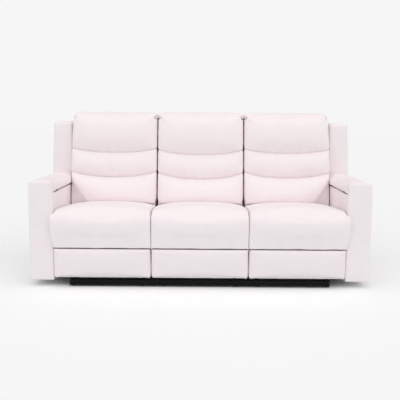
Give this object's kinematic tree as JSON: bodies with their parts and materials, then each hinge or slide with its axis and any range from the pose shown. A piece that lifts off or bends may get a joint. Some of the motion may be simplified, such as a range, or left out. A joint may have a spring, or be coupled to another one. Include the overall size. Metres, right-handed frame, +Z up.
{
  "type": "reclining sofa",
  "caption": "Reclining sofa with slim box arms, pillow backs and panels that open into footrests on folding steel tongs.",
  "frame": {"origin": "centre of the sofa's outline on the floor, under the feet", "axes": "+X along the sofa to the right seen from the front, -Y the way the seats face, +Z up"},
  "size_m": [2.04, 0.91, 1.05],
  "materials": {
    "ivory_fabric": "matt woven upholstery fabric",
    "black_steel": "satin black paint",
    "plywood": "raw birch plywood",
    "webbing": "woven elastic webbing",
    "lever_plastic": "moulded black plastic"
  },
  "bodies": {
    "root": {"arm_left": "ivory_fabric", "arm_right": "ivory_fabric", "arm_pad_left": "ivory_fabric", "arm_pad_right": "ivory_fabric", "wing_left": "ivory_fabric", "wing_right": "ivory_fabric", "front_rail": "black_steel", "rear_panel": "ivory_fabric", "base_left": "black_steel", "base_middle": "black_steel", "base_right": "black_steel"},
    "release_lever_left": {"release_lever_left": "lever_plastic"},
    "release_lever_right": {"release_lever_right": "lever_plastic"},
    "swing_front_left": {"swing_link_front_left": "black_steel"},
    "swing_rear_left": {"swing_link_rear_left": "black_steel"},
    "carriage_left": {"seat_carriage_left": "black_steel", "seat_box_left": "plywood", "seat_webbing_left": "webbing", "seat_cushion_left": "ivory_fabric"},
    "back_left": {"back_frame_left": "black_steel", "back_cushion_left": "ivory_fabric"},
    "tongs_a_left": {"tongs_link_a_left": "black_steel"},
    "tongs_b_left": {"tongs_link_b_left": "black_steel"},
    "tongs_c_left": {"tongs_link_c_left": "black_steel"},
    "tongs_d_left": {"tongs_link_d_left": "black_steel"},
    "control_left": {"control_link_left": "black_steel"},
    "footrest_left": {"footrest_bracket_left": "black_steel", "footrest_panel_left": "ivory_fabric"},
    "swing_front_middle": {"swing_link_front_middle": "black_steel"},
    "swing_rear_middle": {"swing_link_rear_middle": "black_steel"},
    "carriage_middle": {"seat_carriage_middle": "black_steel", "seat_box_middle": "plywood", "seat_webbing_middle": "webbing", "seat_cushion_middle": "ivory_fabric"},
    "back_middle": {"back_frame_middle": "black_steel", "back_cushion_middle": "ivory_fabric"},
    "tongs_a_middle": {"tongs_link_a_middle": "black_steel"},
    "tongs_b_middle": {"tongs_link_b_middle": "black_steel"},
    "tongs_c_middle": {"tongs_link_c_middle": "black_steel"},
    "tongs_d_middle": {"tongs_link_d_middle": "black_steel"},
    "control_middle": {"control_link_middle": "black_steel"},
    "footrest_middle": {"footrest_bracket_middle": "black_steel", "footrest_panel_middle": "ivory_fabric"},
    "swing_front_right": {"swing_link_front_right": "black_steel"},
    "swing_rear_right": {"swing_link_rear_right": "black_steel"},
    "carriage_right": {"seat_carriage_right": "black_steel", "seat_box_right": "plywood", "seat_webbing_right": "webbing", "seat_cushion_right": "ivory_fabric"},
    "back_right": {"back_frame_right": "black_steel", "back_cushion_right": "ivory_fabric"},
    "tongs_a_right": {"tongs_link_a_right": "black_steel"},
    "tongs_b_right": {"tongs_link_b_right": "black_steel"},
    "tongs_c_right": {"tongs_link_c_right": "black_steel"},
    "tongs_d_right": {"tongs_link_d_right": "black_steel"},
    "control_right": {"control_link_right": "black_steel"},
    "footrest_right": {"footrest_bracket_right": "black_steel", "footrest_panel_right": "ivory_fabric"}
  },
  "joints": [
    {"name": "lever_pull_left", "type": "hinge", "parent": "root", "child": "release_lever_left", "pos_m": [-0.894, -0.3257, 0.5735], "axis": [0, 0, -1], "range_deg": [0, 35], "stiffness_Nm_per_rad": 0.3},
    {"name": "lever_pull_right", "type": "hinge", "parent": "root", "child": "release_lever_right", "pos_m": [0.894, -0.3257, 0.5735], "axis": [0, 0, 1], "range_deg": [0, 35], "stiffness_Nm_per_rad": 0.3},
    {"name": "recline_left", "type": "hinge", "parent": "carriage_left", "child": "back_left", "pos_m": [-0.566, 0.15, 0.33], "axis": [-1, 0, 0], "range_deg": [0, 32]},
    {"name": "swing_front_turn_left", "type": "hinge", "parent": "root", "child": "swing_front_left", "pos_m": [-0.566, -0.08, 0.036], "axis": [1, 0, 0], "range_deg": [0, 30]},
    {"name": "carriage_turn_left", "type": "hinge", "parent": "swing_front_left", "child": "carriage_left", "pos_m": [-0.566, -0.05671, 0.12293], "axis": [1, 0, 0], "range_deg": [-30, 0]},
    {"name": "swing_rear_turn_left", "type": "hinge", "parent": "root", "child": "swing_rear_left", "pos_m": [-0.566, 0.2, 0.036], "axis": [1, 0, 0], "range_deg": [0, 30]},
    {"name": "footrest_open_left", "type": "hinge", "parent": "carriage_left", "child": "tongs_a_left", "pos_m": [-0.566, -0.258, 0.203], "axis": [-1, 0, 0], "range_deg": [0, 64]},
    {"name": "tongs_b_turn_left", "type": "hinge", "parent": "tongs_a_left", "child": "tongs_b_left", "pos_m": [-0.566, -0.29257, 0.12535], "axis": [-1, 0, 0], "range_deg": [-128, 0]},
    {"name": "tongs_c_turn_left", "type": "hinge", "parent": "tongs_b_left", "child": "tongs_c_left", "pos_m": [-0.566, -0.2985, 0.21014], "axis": [-1, 0, 0], "range_deg": [0, 128]},
    {"name": "tongs_d_turn_left", "type": "hinge", "parent": "tongs_c_left", "child": "tongs_d_left", "pos_m": [-0.566, -0.33308, 0.13249], "axis": [-1, 0, 0], "range_deg": [-128, 0]},
    {"name": "panel_turn_left", "type": "hinge", "parent": "tongs_d_left", "child": "footrest_left", "pos_m": [-0.566, -0.339, 0.21728], "axis": [-1, 0, 0], "range_deg": [0, 146]},
    {"name": "control_turn_left", "type": "hinge", "parent": "tongs_c_left", "child": "control_left", "pos_m": [-0.566, -0.36765, 0.05484], "axis": [-1, 0, 0], "range_deg": [-125.5, 0]},
    {"name": "recline_middle", "type": "hinge", "parent": "carriage_middle", "child": "back_middle", "pos_m": [0, 0.15, 0.33], "axis": [-1, 0, 0], "range_deg": [0, 32]},
    {"name": "swing_front_turn_middle", "type": "hinge", "parent": "root", "child": "swing_front_middle", "pos_m": [0, -0.08, 0.036], "axis": [1, 0, 0], "range_deg": [0, 30]},
    {"name": "carriage_turn_middle", "type": "hinge", "parent": "swing_front_middle", "child": "carriage_middle", "pos_m": [0, -0.05671, 0.12293], "axis": [1, 0, 0], "range_deg": [-30, 0]},
    {"name": "swing_rear_turn_middle", "type": "hinge", "parent": "root", "child": "swing_rear_middle", "pos_m": [0, 0.2, 0.036], "axis": [1, 0, 0], "range_deg": [0, 30]},
    {"name": "footrest_open_middle", "type": "hinge", "parent": "carriage_middle", "child": "tongs_a_middle", "pos_m": [0, -0.258, 0.203], "axis": [-1, 0, 0], "range_deg": [0, 64]},
    {"name": "tongs_b_turn_middle", "type": "hinge", "parent": "tongs_a_middle", "child": "tongs_b_middle", "pos_m": [0, -0.29257, 0.12535], "axis": [-1, 0, 0], "range_deg": [-128, 0]},
    {"name": "tongs_c_turn_middle", "type": "hinge", "parent": "tongs_b_middle", "child": "tongs_c_middle", "pos_m": [0, -0.2985, 0.21014], "axis": [-1, 0, 0], "range_deg": [0, 128]},
    {"name": "tongs_d_turn_middle", "type": "hinge", "parent": "tongs_c_middle", "child": "tongs_d_middle", "pos_m": [0, -0.33308, 0.13249], "axis": [-1, 0, 0], "range_deg": [-128, 0]},
    {"name": "panel_turn_middle", "type": "hinge", "parent": "tongs_d_middle", "child": "footrest_middle", "pos_m": [0, -0.339, 0.21728], "axis": [-1, 0, 0], "range_deg": [0, 146]},
    {"name": "control_turn_middle", "type": "hinge", "parent": "tongs_c_middle", "child": "control_middle", "pos_m": [0, -0.36765, 0.05484], "axis": [-1, 0, 0], "range_deg": [-125.5, 0]},
    {"name": "recline_right", "type": "hinge", "parent": "carriage_right", "child": "back_right", "pos_m": [0.566, 0.15, 0.33], "axis": [-1, 0, 0], "range_deg": [0, 32]},
    {"name": "swing_front_turn_right", "type": "hinge", "parent": "root", "child": "swing_front_right", "pos_m": [0.566, -0.08, 0.036], "axis": [1, 0, 0], "range_deg": [0, 30]},
    {"name": "carriage_turn_right", "type": "hinge", "parent": "swing_front_right", "child": "carriage_right", "pos_m": [0.566, -0.05671, 0.12293], "axis": [1, 0, 0], "range_deg": [-30, 0]},
    {"name": "swing_rear_turn_right", "type": "hinge", "parent": "root", "child": "swing_rear_right", "pos_m": [0.566, 0.2, 0.036], "axis": [1, 0, 0], "range_deg": [0, 30]},
    {"name": "footrest_open_right", "type": "hinge", "parent": "carriage_right", "child": "tongs_a_right", "pos_m": [0.566, -0.258, 0.203], "axis": [-1, 0, 0], "range_deg": [0, 64]},
    {"name": "tongs_b_turn_right", "type": "hinge", "parent": "tongs_a_right", "child": "tongs_b_right", "pos_m": [0.566, -0.29257, 0.12535], "axis": [-1, 0, 0], "range_deg": [-128, 0]},
    {"name": "tongs_c_turn_right", "type": "hinge", "parent": "tongs_b_right", "child": "tongs_c_right", "pos_m": [0.566, -0.2985, 0.21014], "axis": [-1, 0, 0], "range_deg": [0, 128]},
    {"name": "tongs_d_turn_right", "type": "hinge", "parent": "tongs_c_right", "child": "tongs_d_right", "pos_m": [0.566, -0.33308, 0.13249], "axis": [-1, 0, 0], "range_deg": [-128, 0]},
    {"name": "panel_turn_right", "type": "hinge", "parent": "tongs_d_right", "child": "footrest_right", "pos_m": [0.566, -0.339, 0.21728], "axis": [-1, 0, 0], "range_deg": [0, 146]},
    {"name": "control_turn_right", "type": "hinge", "parent": "tongs_c_right", "child": "control_right", "pos_m": [0.566, -0.36765, 0.05484], "axis": [-1, 0, 0], "range_deg": [-125.5, 0]}
  ],
  "couplings": [
    {"joint": "swing_front_turn_left", "follows": "recline_left", "ratio": 0.9375},
    {"joint": "carriage_turn_left", "follows": "recline_left", "ratio": -0.9375},
    {"joint": "swing_rear_turn_left", "follows": "recline_left", "ratio": 0.9375},
    {"joint": "tongs_b_turn_left", "follows": "footrest_open_left", "ratio": -2},
    {"joint": "tongs_c_turn_left", "follows": "footrest_open_left", "ratio": 2},
    {"joint": "tongs_d_turn_left", "follows": "footrest_open_left", "ratio": -2},
    {"joint": "panel_turn_left", "follows": "footrest_open_left", "ratio": 2.2812},
    {"joint": "control_turn_left", "follows": "footrest_open_left", "ratio": -1.961},
    {"joint": "swing_front_turn_middle", "follows": "recline_middle", "ratio": 0.9375},
    {"joint": "carriage_turn_middle", "follows": "recline_middle", "ratio": -0.9375},
    {"joint": "swing_rear_turn_middle", "follows": "recline_middle", "ratio": 0.9375},
    {"joint": "tongs_b_turn_middle", "follows": "footrest_open_middle", "ratio": -2},
    {"joint": "tongs_c_turn_middle", "follows": "footrest_open_middle", "ratio": 2},
    {"joint": "tongs_d_turn_middle", "follows": "footrest_open_middle", "ratio": -2},
    {"joint": "panel_turn_middle", "follows": "footrest_open_middle", "ratio": 2.2812},
    {"joint": "control_turn_middle", "follows": "footrest_open_middle", "ratio": -1.961},
    {"joint": "swing_front_turn_right", "follows": "recline_right", "ratio": 0.9375},
    {"joint": "carriage_turn_right", "follows": "recline_right", "ratio": -0.9375},
    {"joint": "swing_rear_turn_right", "follows": "recline_right", "ratio": 0.9375},
    {"joint": "tongs_b_turn_right", "follows": "footrest_open_right", "ratio": -2},
    {"joint": "tongs_c_turn_right", "follows": "footrest_open_right", "ratio": 2},
    {"joint": "tongs_d_turn_right", "follows": "footrest_open_right", "ratio": -2},
    {"joint": "panel_turn_right", "follows": "footrest_open_right", "ratio": 2.2812},
    {"joint": "control_turn_right", "follows": "footrest_open_right", "ratio": -1.961}
  ]
}
